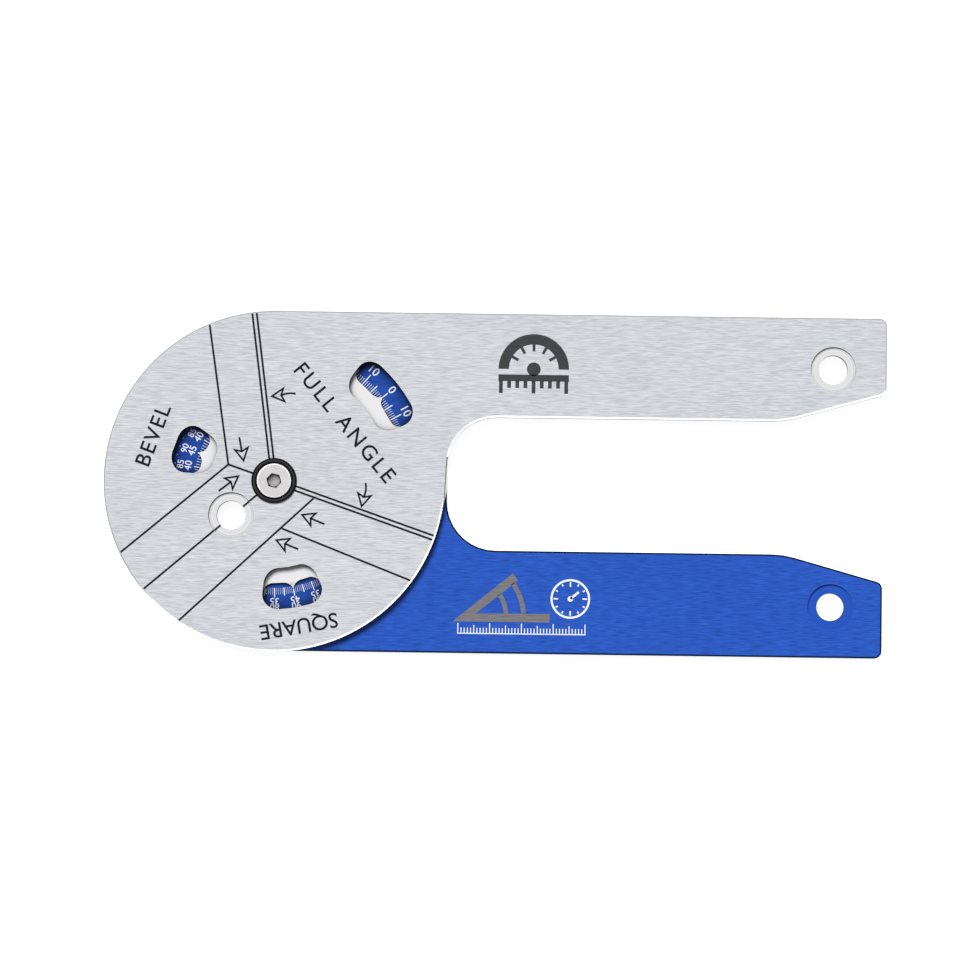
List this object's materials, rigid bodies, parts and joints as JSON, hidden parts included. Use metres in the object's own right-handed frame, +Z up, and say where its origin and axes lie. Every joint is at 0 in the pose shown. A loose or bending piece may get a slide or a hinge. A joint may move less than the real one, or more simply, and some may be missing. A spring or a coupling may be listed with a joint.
{
  "type": "angle gauge",
  "caption": "Flat metal legs with round dial ends, joined by a friction pivot, with windows that read the angle between them.",
  "frame": {"origin": "on the pivot axis, at the underside of the lower leg, where the pivot screw's end is flush", "axes": "+X along both arms towards their tips at rest, +Y towards the upper leg's arm, +Z up through the upper leg's dial face"},
  "size_m": [0.2705, 0.118, 0.0097],
  "materials": {
    "silver_anodised": "brushed",
    "blue_anodised": "brushed",
    "stainless_steel": "satin",
    "black_acetal": "satin",
    "ptfe": "matte",
    "spring_steel": "satin"
  },
  "bodies": {
    "upper": {"upper_leg": "silver_anodised", "pivot_screw": "stainless_steel", "cup_washer": "black_acetal", "wave_washer": "spring_steel", "friction_washer": "ptfe", "pivot_sleeve": "stainless_steel", "pivot_nut": "stainless_steel"},
    "lower": {"lower_leg": "blue_anodised"}
  },
  "joints": [
    {"name": "leg_pivot", "type": "hinge", "parent": "upper", "child": "lower", "pos_m": [0, 0, 0], "axis": [0, 0, -1], "continuous": true}
  ]
}
